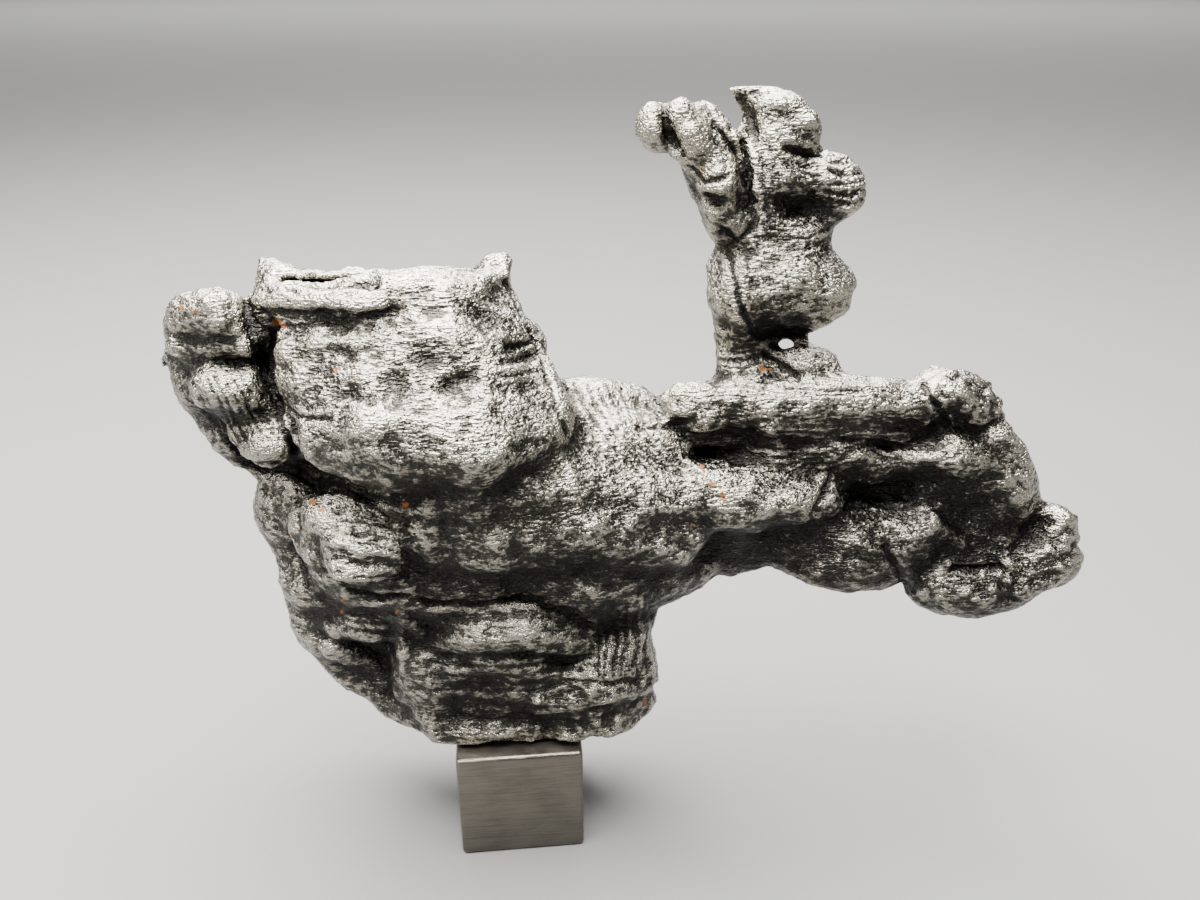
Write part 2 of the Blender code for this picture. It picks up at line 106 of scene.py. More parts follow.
class EndCutStone(bpy.types.PropertyGroup):
    skin: bpy.props.FloatProperty(
        name="Skin",
        description="Size of the squares that the stone's skin is made of, in millimetres",
        default=0.2,
        min=0.1,
        max=1.0,
    )
    triangles: bpy.props.IntProperty(
        name="Triangles",
        description="Triangles kept in the finished skin",
        default=188000,
        min=10000,
        max=198000,
    )
    furrow: bpy.props.FloatProperty(
        name="Furrows",
        description="Height of the long fine furrows, in millimetres",
        default=0.055,
        min=0.0,
        max=0.5,
    )
    hammering: bpy.props.FloatProperty(
        name="Hammering",
        description="Height of the hammered dimples, in millimetres",
        default=0.07,
        min=0.0,
        max=0.5,
    )
    grain: bpy.props.FloatProperty(
        name="Grain",
        description="Height of the finest grain, in millimetres",
        default=0.05,
        min=0.0,
        max=0.3,
    )
    # Used for the worn high spots and as painted sheen on the tops and at the bright places
    bright: bpy.props.FloatVectorProperty(
        name="Worn metal",
        description="Colour of the high spots",
        subtype="COLOR",
        size=3,
        default=(0.36, 0.336, 0.284),
    )
    body: bpy.props.FloatVectorProperty(
        name="Metal",
        description="Colour of the open skin",
        subtype="COLOR",
        size=3,
        default=(0.048, 0.0455, 0.039),
    )
    # Used for the crust in the creases and as painted shade in the hollows and on the undersides
    dark: bpy.props.FloatVectorProperty(
        name="Crust",
        description="Colour down in the creases and on the undersides",
        subtype="COLOR",
        size=3,
        default=(0.014, 0.0135, 0.013),
    )
    rust: bpy.props.FloatVectorProperty(
        name="Rust",
        description="Colour of the rust specks",
        subtype="COLOR",
        size=3,
        default=(0.21, 0.064, 0.006),
    )


class EndCutCube(bpy.types.PropertyGroup):
    side: bpy.props.FloatProperty(
        name="Side",
        description="Length of an edge",
        subtype="DISTANCE",
        unit="LENGTH",
        default=0.010,
        min=0.001,
    )
    turn: bpy.props.FloatProperty(
        name="Turn",
        description="How far the cube is turned under the stone",
        subtype="ANGLE",
        unit="ROTATION",
        default=radians(5.75),
    )
    edge: bpy.props.FloatProperty(
        name="Edge",
        description="Width of the eased edges",
        subtype="DISTANCE",
        unit="LENGTH",
        default=0.00035,
        min=0.0,
    )
    steel: bpy.props.FloatVectorProperty(
        name="Steel",
        description="Colour of the brushed steel",
        subtype="COLOR",
        size=3,
        default=(0.165, 0.152, 0.13),
    )


class EndCutStage(bpy.types.PropertyGroup):
    floor_colour: bpy.props.FloatVectorProperty(
        name="Floor",
        description="Colour of the floor",
        subtype="COLOR",
        size=3,
        default=(0.13, 0.13, 0.1285),
    )
    key_power: bpy.props.FloatProperty(
        name="Key light",
        description="Power of the main soft light above the stone",
        subtype="POWER",
        unit="POWER",
        default=12.0,
        min=0.0,
    )
    fill_power: bpy.props.FloatProperty(
        name="Side light",
        description="Power of the small light at the front left",
        subtype="POWER",
        unit="POWER",
        default=0.9,
        min=0.0,
    )
    back_power: bpy.props.FloatProperty(
        name="Back light",
        description="Power of the wide light over the floor far behind",
        subtype="POWER",
        unit="POWER",
        default=65.0,
        min=0.0,
    )
    surround: bpy.props.FloatProperty(
        name="Surround",
        description="Strength of the even light from all round",
        default=0.25,
        min=0.0,
        max=5.0,
    )


# Tables of places

# Runs of added balls: (column, row, radius, sink), where the sink is how far the ball's centre
# lies below the skin, in millimetres. A fifth number is the centre's y, for a ball on the outline.
LUMPS = {
    "top lip": [(263, 268, 0.34, 0, 1.4), (285, 273, 0.3, 0, 0.8), (320, 276, 0.26, 0, 0.4),
                (352, 275, 0.26, 0, 0.4), (376, 273, 0.26, 0, 0.6)],
    "top lip, left end": [(262, 262, 0.3, 0, 2.4), (268, 262, 0.3, 0, 2.4)],
    "top burr": [(494, 260, 0.45, 0, 0.8), (503, 256, 0.4, 0, 0.8), (508, 262, 0.45, 0, 0.8),
                 (504, 269, 0.5, 0, 0.4)],
    "top burr, inner": [(488, 268, 0.4, 0.1), (498, 276, 0.4, 0.1), (506, 278, 0.35, 0.1)],
    "spikes on the flank": [(262, 507, 0.3, 0, 1.6), (257, 509, 0.18, 0, 1.6)],
    "knob spike": [(163, 365, 0.25, 0, 1.6), (160, 360, 0.15, 0, 1.6)],
    "right lip": [(731, 90, 0.24, 0, 2.6), (745, 88, 0.26, 0, 2.6), (762, 87, 0.28, 0, 2.6),
                  (774, 90, 0.3, 0, 2.6)],
    "chest sliver": [(746, 170, 0.2, 0), (751, 184, 0.22, 0), (756, 197, 0.2, 0)],
    "bottom burr, left": [(424, 742, 0.2, 0.0), (450, 742, 0.22, 0.0), (476, 741, 0.22, 0.0),
                          (490, 741, 0.2, 0.0)],
    "bottom burr, right": [(556, 737, 0.22, 0.05), (568, 738, 0.26, 0.05), (582, 736, 0.26, 0.05),
                           (590, 732, 0.2, 0.05)],
    "right burrs": [(655, 668, 0.3, 0.1), (661, 676, 0.3, 0.1), (657, 690, 0.34, 0.15),
                    (648, 700, 0.3, 0.15)],
    "crusty knob": [(930, 376, 0.45, 0.15), (945, 371, 0.5, 0.15), (962, 374, 0.5, 0.15),
                    (978, 383, 0.5, 0.15), (992, 392, 0.5, 0.1), (1002, 404, 0.4, 0.1)],
    "crusty knob, face": [(948, 388, 0.6, 0.2), (966, 396, 0.6, 0.2), (984, 408, 0.6, 0.2),
                          (972, 420, 0.5, 0.2)],
    "end knob": [(1046, 512, 0.5, 0.2), (1060, 510, 0.5, 0.2), (1072, 522, 0.5, 0.2),
                 (1076, 540, 0.5, 0.2)],
    "lobe": [(1020, 590, 0.9, 0.5), (1050, 584, 0.9, 0.5), (1066, 570, 0.7, 0.35)],
    "foot of the upper arm": [(792, 360, 1.0, 0.5), (806, 364, 1.2, 0.6), (824, 363, 1.0, 0.5),
                              (836, 367, 0.6, 0.25)],
    "edge of the gap": [(774, 350, 0.25, 0.1), (780, 347, 0.2, 0.0), (788, 349, 0.25, 0.1)],
    "ridge beside the flank": [(404, 612, 0.45, 0.15), (404, 632, 0.42, 0.1), (403, 652, 0.42, 0.1),
                               (402, 670, 0.4, 0.15)],
    "column strips": [(712, 110, 0.5, 0.2), (722, 126, 0.5, 0.2), (736, 142, 0.5, 0.2)],
    "prong": [(782, 100, 0.6, 0.25), (800, 104, 0.7, 0.3), (812, 118, 0.7, 0.3)],
    "bright strip of the left prong": [(682, 108, 0.9, 0.5), (694, 124, 1.0, 0.55),
                                       (702, 146, 0.9, 0.5)],
    "left prong knob": [(650, 112, 0.9, 0.4), (652, 130, 0.9, 0.4)],
    "arch roll": [(438, 640, 1.7, 1.1), (476, 633, 2.2, 1.4), (530, 631, 2.2, 1.4),
                  (572, 646, 1.6, 1.0)],
    "second tier, shoulder": [(318, 512, 1.5, 1.0), (352, 520, 1.8, 1.2), (398, 532, 1.5, 1.0)],
    "second tier, face": [(334, 556, 1.8, 1.1), (360, 562, 2.0, 1.2), (394, 560, 1.7, 1.1)],
    "third tier": [(352, 618, 1.3, 0.8), (382, 622, 1.3, 0.8)],
    "lower ridge": [(538, 708, 1.0, 0.5), (572, 702, 1.1, 0.5), (608, 695, 1.1, 0.5),
                    (644, 690, 0.9, 0.4)],
    "knob recess, filled": [(184, 346, 1.1, 0.4), (242, 346, 1.1, 0.4)],
    "knob recess, filled lower": [(188, 356, 1.0, 0.4), (244, 358, 1.0, 0.4)],
    "groove beside the knob, filled": [(262, 332, 1.0, 0.4), (266, 352, 1.0, 0.4),
                                       (272, 378, 0.9, 0.4)],
    "under the brow, filled": [(288, 316, 0.8, 0.45), (400, 320, 0.8, 0.45)],
    "flank recess, filled": [(340, 646, 1.4, 0.7), (366, 656, 1.6, 0.7), (384, 676, 1.4, 0.6)],
    "recess beside the arch, filled": [(412, 622, 0.9, 0.4), (424, 634, 0.9, 0.4)],
    "arm pit, filled": [(702, 438, 1.0, 0.35), (750, 436, 1.0, 0.35)],
    "arm pit, filled lower": [(716, 452, 1.0, 0.5), (768, 454, 1.0, 0.5)],
    "arm crease, filled": [(770, 428, 1.3, 0.7), (850, 428, 1.3, 0.6), (930, 430, 1.3, 0.6),
                           (992, 432, 1.2, 0.6)],
    "belly crease, filled": [(316, 470, 1.2, 0.7), (372, 492, 1.2, 0.7), (430, 508, 1.2, 0.7)],
    "chest pit, filled": [(780, 204, 0.6, 0.25), (800, 206, 0.6, 0.25)],
}

# Crusty places: (first column, first row, last column, last row, number of grains)
CRUSTS = {
    "crusty knob": (924, 368, 1002, 424, 60),
    "top burr": (488, 256, 512, 284, 12),
    "right burrs": (634, 664, 662, 706, 18),
    "lower ridge": (530, 690, 640, 734, 26),
    "end knob": (1040, 508, 1078, 570, 16),
    "face of the lobe": (960, 570, 1060, 600, 12),
    "knob top": (172, 290, 232, 306, 10),
}

# Combed lines: (number of lines, depth, first line, last line), the rest lying between the two
COMBS = {
    "top of the arm": (8, 0.1, [(716, 386), (800, 388), (930, 396)],
                       [(700, 424), (800, 420), (920, 424)]),
    "face of the arm": (10, 0.12, [(770, 428), (860, 430), (990, 430)],
                        [(810, 476), (880, 456), (985, 452)]),
    "arm hollow": (5, 0.08, [(835, 470), (880, 462), (960, 458)], [(840, 510), (900, 508), (960, 500)]),
    "right column": (9, 0.12, [(602, 612), (604, 640), (600, 684)],
                     [(652, 596), (652, 630), (656, 676)]),
    "second tier": (8, 0.12, [(330, 520), (370, 526), (414, 536)],
                    [(322, 584), (370, 590), (404, 586)]),
    "third tier": (5, 0.1, [(338, 602), (370, 606), (396, 604)], [(350, 640), (374, 644), (392, 640)]),
    "face slots": (4, 0.14, [(500, 344), (520, 338), (542, 336)], [(500, 376), (522, 372), (546, 368)]),
    "waist": (5, 0.1, [(740, 216), (780, 226), (822, 216)], [(744, 250), (790, 256), (836, 246)]),
    "foot": (7, 0.1, [(716, 334), (736, 338), (758, 334)], [(718, 372), (738, 376), (762, 372)]),
    "left arm root": (6, 0.1, [(676, 436), (720, 432), (770, 434)],
                      [(690, 470), (740, 474), (800, 470)]),
    "right knob": (5, 0.14, [(824, 162), (846, 164), (864, 160)], [(828, 202), (848, 206), (864, 202)]),
    "below the arch": (7, 0.09, [(430, 666), (500, 668), (580, 660)],
                       [(440, 714), (500, 716), (580, 700)]),
    "knob, low": (6, 0.1, [(188, 380), (204, 410), (222, 444)], [(236, 380), (250, 410), (268, 440)]),
    "groove of the prongs": (4, 0.12, [(716, 104), (726, 134), (742, 180)],
                             [(738, 140), (742, 170), (752, 214)]),
    "saddle": (8, 0.08, [(574, 384), (600, 430), (640, 470)], [(640, 392), (650, 430), (690, 466)]),
    "brow": (6, 0.08, [(262, 284), (320, 290), (400, 290)], [(262, 318), (320, 320), (400, 318)]),
}

# Strokes pressed into the skin, or raised from it where the depth is below zero:
# (width in pixels, depth in millimetres, path)
STROKES = {
    "shadow under the lip": (3, 0.6, [(284, 280), (320, 284), (372, 282)]),
    "knob groove": (3, 0.35, [(245, 304), (250, 330), (261, 368), (274, 398)]),
    "knob groove, foot": (3, 0.5, [(280, 404), (288, 420), (296, 452)]),
    "knob groove, right": (2, 0.3, [(276, 400), (300, 414), (330, 420)]),
    "knob crease": (2, 0.3, [(222, 425), (240, 455)]),
    "face pit one": (6, 0.2, [(335, 350), (352, 356)]),
    "face pit two": (6, 0.2, [(338, 396), (366, 398)]),
    "face pit three": (7, 0.3, [(484, 314), (512, 322)]),
    "face slot": (3, 0.2, [(500, 360), (536, 357)]),
    "face slot, upper": (2, 0.3, [(506, 346), (536, 343)]),
    "fold seam": (2, 0.2, [(506, 284), (522, 318), (536, 348), (552, 392), (566, 432)]),
    "belly crease": (3, 0.3, [(244, 464), (280, 468), (330, 483), (370, 494), (412, 505)]),
    "tier crease": (2, 0.3, [(350, 592), (380, 597), (410, 596)]),
    "tier side": (3, 0.2, [(300, 500), (296, 540), (306, 590)]),
    "arch crease": (2, 0.3, [(420, 600), (470, 605), (520, 598), (560, 608), (592, 626)]),
    "lower ridge crease": (3, 0.25, [(530, 692), (580, 682), (640, 680)]),
    "saddle crease": (3, 0.25, [(640, 428), (690, 420)]),
    "arm edge": (2, 0.25, [(832, 468), (812, 514)]),
    "arm hollow, right": (5, 0.2, [(930, 506), (970, 540)]),
    "crusty edge": (2, 0.3, [(922, 384), (932, 402), (950, 424)]),
    "lobe slot": (3, 0.3, [(952, 568), (998, 564)]),
    "lobe seam": (3, 0.25, [(886, 548), (912, 592)]),
    "prong groove": (2, 0.3, [(708, 106), (720, 126), (736, 160)]),
    "prong groove, left": (3, 0.3, [(664, 104), (668, 132), (686, 160)]),
    "chest groove": (2, 0.4, [(743, 143), (748, 170), (752, 200)]),
    "prong concave": (6, 0.3, [(742, 102), (752, 128)]),
    "prong crease": (2, 0.3, [(786, 150), (820, 154)]),
    "chest pit": (6, 0.3, [(784, 202), (800, 206)]),
    "column pit": (3, 0.3, [(706, 196), (722, 200)]),
    "column ring": (2, 0.25, [(692, 168), (704, 182), (724, 176)]),
    "waist ring": (3, 0.25, [(722, 226), (738, 238), (752, 224)]),
    "column seam": (2, 0.2, [(728, 250), (740, 300), (752, 330)]),
    "foot shadow": (4, 0.4, [(760, 332), (812, 334)]),
    "foot crease": (2, 0.3, [(764, 352), (784, 368), (800, 378)]),
    "knob wrap one": (2, 0.2, [(826, 170), (846, 178), (864, 176)]),
    "knob wrap two": (2, 0.2, [(828, 192), (850, 198), (866, 190)]),
    "brow roll": (8, -0.3, [(262, 300), (320, 302), (378, 306)]),
    "brow shadow, filled": (9, -0.35, [(262, 322), (320, 324), (380, 326)]),
    "lobe slot, filled": (5, -0.45, [(948, 564), (1004, 562)]),
    "bright edge of the fold": (4, -0.1, [(514, 290), (530, 326), (545, 356), (562, 398), (576, 436)]),
    "striated ridge": (5, -0.25, [(852, 456), (900, 454), (958, 462)]),
    "second tier": (12, -0.5, [(318, 520), (350, 540), (392, 550)]),
    "second tier, foot": (9, -0.5, [(330, 574), (390, 572)]),
}

# Rust specks: (column, row, radius in pixels)
RUST_SPOTS = [
    (182, 308, 3), (196, 312, 2), (216, 309, 2), (277, 322, 4), (284, 326, 3), (336, 370, 3),
    (345, 405, 2), (402, 302, 2), (312, 502, 3), (322, 510, 3), (292, 533, 2), (405, 505, 3),
    (343, 600, 2), (342, 612, 2), (397, 612, 2), (447, 610, 2), (702, 466, 2), (704, 471, 2),
    (712, 484, 3), (722, 494, 3), (725, 500, 2), (692, 525, 2), (762, 368, 3), (770, 370, 2),
    (645, 703, 3), (703, 170, 2),
]

# Soft places darkened with painted shade, in part a duller skin, or lightened with a painted highlight
# where the amount is below zero:
# (column, row, radius in pixels, amount)
SHADE_AND_HIGHLIGHT_PLACES = {
    "lobe": (1000, 588, 62, 0.55),
    "bulge": (845, 562, 66, 0.5),
    "front of the arm": (885, 512, 55, 0.3),
    "crusty knob": (966, 400, 42, 0.35),
    "upper arm, belly": (740, 300, 34, 0.3),
    "top of the arm": (850, 386, 62, -0.6),
    "saddle": (610, 430, 62, -0.35),
    "left prong": (690, 135, 42, -0.5),
    "right prong": (790, 125, 40, -0.3),
}


# Sculpting sizes, in millimetres unless they are said to be shares or frame pixels

GRAIN_RADII = (0.25, 0.45)
# How far a crust grain's centre lies below the skin, as a share of its radius
GRAIN_SINK = 0.1
# Spacing of the balls along a run, as a share of the smaller radius
BALL_SPACING = 0.4

COMB_WIDTH = 1.4
# How far a combed line may leave its even place, as a share of the spacing
COMB_UNEVENNESS = 0.35
COMB_DEPTH_SHARES = (0.5, 1.3)

# A stroke fades out at this many times its width
STROKE_REACH = 1.8
# Strokes this wide in pixels are pits, and have no rounded shoulders
PIT_WIDTH = 5
# The shoulders beside a stroke: place and half width in reaches, height as a share of the depth
SHOULDER_PLACE = 2.1
SHOULDER_WIDTH = 1.6
SHOULDER_HEIGHT = 0.3
# Strokes drift by some pixels and swell by a share of their width, so that none looks ruled
DRIFT_PIXELS = 5.0
DRIFT_FINENESS = (0.45, 0.45, 0.45)
SWELL_SHARE = 0.5
SWELL_FINENESS = (1.1, 1.1, 1.1)
# No stroke reaches the skin behind this y
STROKES_END = 5.5

# How fine the noises of the relief are along x, y and z, per millimetre
SWAY_FINENESS = (0.16, 0.16, 0.16)
BAND_FINENESS = (0.35, 1.3, 1.5)
FURROW_FINENESS = (1.1, 3.2, 3.4)
HILL_FINENESS = (0.5, 0.7, 0.8)
DIMPLE_FINENESS = (1.15, 1.15, 1.15)
GRAIN_FINENESS = (2.7, 2.7, 2.7)
SWAY_REACH = 1.3
# Heights of the hills and bands as shares of the hammering
HILL_SHARE = 2.0
BAND_SHARE = 0.8

# Depth of the strip along the sawn back that stays flat
SAW_EDGE = 0.25
# How close to the edge of its solid's box the skin may come
BOX_MARGIN = 1e-4

# Rounds of smoothing that a point is measured against, and the depth below it that counts as one
NEAR_ROUNDS, NEAR_DEPTH = 3, 0.02
WIDE_ROUNDS, WIDE_DEPTH = 40, 0.35
BROAD_ROUNDS, BROAD_DEPTH = 250, 1.2
# Skin whose normal has this z gets neither painted shade nor painted sheen; lower normals get shade,
# higher ones sheen
LEVEL_NORMAL = 0.3
RUST_GROWTH = 1.5


# Sculpting

def solid_in_mm(node):
    """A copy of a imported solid's mesh, in millimetres."""
    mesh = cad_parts[node].data.copy()
    mesh.transform(Matrix.Scale(1 / MM, 4))
    return mesh


def unit_ball():
    """Points and faces of a closed ball of radius one."""
    bm = bmesh.new()
    bmesh.ops.create_icosphere(bm, subdivisions=2, radius=1.0)
    points = np.array([vertex.co for vertex in bm.verts])
    faces = [[vertex.index for vertex in face.verts] for face in bm.faces]
    bm.free()
    return points, np.array(faces)


def lump_centre(tree, station):
    """Centre of an added ball: below the skin where its line of sight meets it, or at its own depth."""
    column, row, _, sink = station[:4]
    if len(station) == 5:
        return at_depth(column, row, station[4])
    spot, normal, _, _ = tree.ray_cast(EYE, sight(column, row))
    if spot is None:
        return None
    return spot - normal * sink


def crust_grains():
    """Small grains strewn over the crusty places, each a lump of its own."""
    draw = Random(5)
    for left, top, right, bottom, count in CRUSTS.values():
        for _ in range(count):
            radius = draw.uniform(*GRAIN_RADII)
            yield [(draw.uniform(left, right), draw.uniform(top, bottom), radius, GRAIN_SINK * radius)]


def add_lumps(mesh):
    """The solid's skin together with all the added balls, still loose, as points and faces."""
    faces = [list(polygon.vertices) for polygon in mesh.polygons]
    tree = BVHTree.FromPolygons([vertex.co for vertex in mesh.vertices], faces)
    ball_points, ball_faces = unit_ball()
    points = [np.array([vertex.co for vertex in mesh.vertices])]
    total = len(points[0])
    for stations in [*LUMPS.values(), *crust_grains()]:
        spine = [(lump_centre(tree, station), station[2]) for station in stations]
        if None in (centre for centre, _ in spine):
            continue
        balls = [spine[0]]
        for (start, start_radius), (end, end_radius) in zip(spine, spine[1:]):
            count = ceil((end - start).length / (BALL_SPACING * min(start_radius, end_radius)))
            for step in range(1, count + 1):
                share = step / count
                radius = start_radius + (end_radius - start_radius) * share
                balls.append((start.lerp(end, share), radius))
        for centre, radius in balls:
            points.append(ball_points * radius + np.array(centre))
            faces.extend((ball_faces + total).tolist())
            total += len(ball_points)
    return np.concatenate(points), faces


def applied(piece):
    """The piece's mesh with its modifiers carried out."""
    graph = bpy.context.evaluated_depsgraph_get()
    return bpy.data.meshes.new_from_object(piece.evaluated_get(graph))


def new_piece(name, mesh):
    piece = bpy.data.objects.new(name, mesh)
    bpy.context.scene.collection.objects.link(piece)
    return piece


def remeshed(points, faces, skin):
    """One closed skin of even squares round everything, its facets smoothed away."""
    mesh = bpy.data.meshes.new("blank")
    mesh.from_pydata(points.tolist(), [], faces)
    blank = new_piece("blank", mesh)
    fuse = blank.modifiers.new("fuse", "REMESH")
    fuse.mode = "VOXEL"
    fuse.voxel_size = skin
    soften = blank.modifiers.new("soften", "SMOOTH")
    soften.factor = 0.5
    soften.iterations = 5
    result = applied(blank)
    bpy.data.objects.remove(blank)
    return result


def mesh_points(mesh):
    points = np.empty(3 * len(mesh.vertices))
    mesh.vertices.foreach_get("co", points)
    return points.reshape(-1, 3)


def mesh_normals(mesh):
    normals = np.empty(3 * len(mesh.vertices))
    mesh.vertex_normals.foreach_get("vector", normals)
    return normals.reshape(-1, 3)


def set_points(mesh, points):
    mesh.vertices.foreach_set("co", points.ravel())
    mesh.update()


def path_distance(seen, path):
    """Distance in the frame of each seen point to the nearest stretch of a path."""
    nearest = np.full(len(seen), np.inf)
    for start, end in zip(path, path[1:] or path):
        start, along = np.array(start, float), np.subtract(end, start).astype(float)
        share = np.clip((seen - start) @ along / max(along @ along, 1e-9), 0.0, 1.0)
        gap = seen - start - share[:, None] * along
        nearest = np.minimum(nearest, np.linalg.norm(gap, axis=1))
    return nearest


def facing(points, normals):
    """How squarely each point of the skin faces EYE, from 0 to 1."""
    away = points - np.array(EYE)
    away /= np.linalg.norm(away, axis=1)[:, None]
    return np.clip(-np.einsum("ij,ij->i", normals, away), 0.0, 1.0)


def front_share(points, normals):
    """One where the skin faces EYE, falling to nothing round its outline."""
    return np.clip(facing(points, normals) * 4.0, 0.0, 1.0)


def combed_lines():
    """Every combed line as a stroke: its width, its depth and its path, unevenly spaced."""
    draw = Random(8)
    for count, depth, first, last in COMBS.values():
        for line in range(count):
            share = (line + draw.uniform(-COMB_UNEVENNESS, COMB_UNEVENNESS)) / (count - 1)
            path = [
                tuple(np.add(np.multiply(start, 1 - share), np.multiply(end, share)))
                for start, end in zip(first, last)
            ]
            yield COMB_WIDTH, depth * draw.uniform(*COMB_DEPTH_SHARES), path


def noise_at(point, fineness, shift=(0.0, 0.0, 0.0)):
    """Noise at a point, with a fineness of its own along each axis, moved along by a shift."""
    return noise.noise([place * fine + move for place, fine, move in zip(point, fineness, shift)])


def press_strokes(points, normals):
    """Presses creases and pits into the skin that faces EYE, and raises edges on it."""
    seen = columns_and_rows(points)
    across = [noise_at(point, DRIFT_FINENESS, (20, 0, 0)) for point in points]
    down = [noise_at(point, DRIFT_FINENESS, (0, 50, 0)) for point in points]
    seen += DRIFT_PIXELS * np.stack([across, down], axis=1)
    swell = np.array([noise_at(point, SWELL_FINENESS) for point in points])
    front = front_share(points, normals) * (points[:, 1] < STROKES_END)
    push = np.zeros(len(points))
    lift = np.zeros(len(points))
    for width, depth, path in [*STROKES.values(), *combed_lines()]:
        near = path_distance(seen, path) * (1.0 + SWELL_SHARE * swell) / (STROKE_REACH * width)
        shape = np.clip(1.0 - near * near, 0.0, 1.0) ** 2 * abs(depth)
        if depth < 0:
            lift = np.maximum(lift, shape)
            continue
        push = np.maximum(push, shape)
        if width < PIT_WIDTH:
            shoulder = np.clip(1.0 - ((near - SHOULDER_PLACE) / SHOULDER_WIDTH) ** 2, 0.0, 1.0) ** 2
            lift = np.maximum(lift, SHOULDER_HEIGHT * depth * shoulder)
    return points + normals * ((lift - push) * front)[:, None]


def furrowed(points, normals, stone):
    """Covers the skin with low hills and bands, long furrows, hammered dimples and fine grain."""
    rise = np.empty(len(points))
    for index, point in enumerate(points):
        sway = SWAY_REACH * noise_at(point, SWAY_FINENESS)
        band = noise_at(point, BAND_FINENESS, (0, sway, 2.0 * sway))
        furrow = noise_at(point, FURROW_FINENESS, (9, 2 * sway, 4 * sway))
        hill = noise_at(point, HILL_FINENESS, (0, 3, 0))
        dimple = noise_at(point, DIMPLE_FINENESS, (0, 0, 5))
        grain = noise_at(point, GRAIN_FINENESS, (0, 7, 0))
        rise[index] = (
            HILL_SHARE * stone.hammering * hill
            + BAND_SHARE * stone.hammering * band
            + stone.furrow * furrow
            + stone.hammering * (dimple - 0.5 * abs(dimple))
            + stone.grain * grain
        )
    return points + normals * rise[:, None]


def sawn_flat(points, before, node):
    """Lays the points that were at the sawn plane before the relief flat on it again."""
    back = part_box(node)[1].y / MM
    at_back = before[:, 1] > back - SAW_EDGE
    points[at_back, 1] = back
    return points


def inside_solid_box(points, node):
    """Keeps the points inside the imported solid's box, which keeps its sawn back and its seat flat."""
    low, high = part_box(node)
    return np.clip(points, np.array(low) / MM + BOX_MARGIN, np.array(high) / MM - BOX_MARGIN)


def neighbour_mean(points, edges, rounds):
    """The points after each has moved to the mean of its neighbours a number of times."""
    count = np.bincount(edges.ravel(), minlength=len(points)).astype(float)[:, None]
    for _ in range(rounds):
        total = np.zeros_like(points)
        for axis in range(3):
            total[:, axis] = np.bincount(edges[:, 0], points[edges[:, 1], axis], len(points))
            total[:, axis] += np.bincount(edges[:, 1], points[edges[:, 0], axis], len(points))
        points = total / count
    return points


def add_value(mesh, name, values):
    """Stores a value for each point of a mesh under a name that its material reads."""
    layer = mesh.attributes.new(name, "FLOAT", "POINT")
    layer.data.foreach_set("value", values.astype(np.float32))


def store_relief(mesh, node):
    """Stores how sunken each point is, its painted shade or sheen, how rusty and how sawn it is."""
    points, normals = mesh_points(mesh), mesh_normals(mesh)
    edges = np.empty(2 * len(mesh.edges), np.int32)
    mesh.edges.foreach_get("vertices", edges)
    edges = edges.reshape(-1, 2)
    near = neighbour_mean(points, edges, NEAR_ROUNDS)
    wide = neighbour_mean(points, edges, WIDE_ROUNDS)
    broad = neighbour_mean(wide, edges, BROAD_ROUNDS - WIDE_ROUNDS)
    add_value(mesh, "sunken_near", np.einsum("ij,ij->i", near - points, normals) / NEAR_DEPTH)
    add_value(mesh, "sunken_wide", np.einsum("ij,ij->i", wide - points, normals) / WIDE_DEPTH)
    add_value(mesh, "sunken_broad", np.einsum("ij,ij->i", broad - points, normals) / BROAD_DEPTH)

    seen = columns_and_rows(points)
    # Painted shade on the undersides and painted sheen on the tops: the further the smoothed normal
    # turns down past LEVEL_NORMAL the darker, the further up the brighter
    rise = neighbour_mean(normals, edges, WIDE_ROUNDS)[:, 2]
    painted_shade_and_sheen = np.clip(LEVEL_NORMAL - rise, -0.5, 1.0)
    front = front_share(points, normals)
    # Painted shade at the dull places and painted highlight at the bright ones, on skin that faces EYE
    for column, row, radius, amount in SHADE_AND_HIGHLIGHT_PLACES.values():
        gap = np.linalg.norm(seen - (column, row), axis=1)
        painted_shade_and_sheen += amount * front * np.exp(-((gap / radius) ** 2))
    add_value(mesh, "painted_shade_and_sheen", painted_shade_and_sheen)

    rust = np.zeros(len(points))
    for column, row, radius in RUST_SPOTS:
        gap = np.linalg.norm(seen - (column, row), axis=1)
        rust = np.maximum(rust, np.clip(1.4 - gap / (RUST_GROWTH * radius), 0.0, 1.0))
    add_value(mesh, "rust", rust * (facing(points, normals) > 0.05))

    before_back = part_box(node)[1].y / MM - points[:, 1]
    add_value(mesh, "sawn", np.clip(1.0 - before_back / 0.02, 0.0, 1.0))


def shade(mesh, node):
    """Shades the natural skin smoothly and the sawn plane flat."""
    at_back = mesh_points(mesh)[:, 1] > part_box(node)[1].y / MM - 0.001
    for polygon in mesh.polygons:
        polygon.use_smooth = not at_back[list(polygon.vertices)].all()


def thinned(mesh, triangles):
    """The mesh with fewer triangles, which leave first where it is flat."""
    mesh_triangles = sum(len(polygon.vertices) - 2 for polygon in mesh.polygons)
    piece = new_piece("dense", mesh)
    thin = piece.modifiers.new("thin", "DECIMATE")
    thin.ratio = min(1.0, triangles / mesh_triangles)
    result = applied(piece)
    bpy.data.objects.remove(piece)
    return result


# Materials

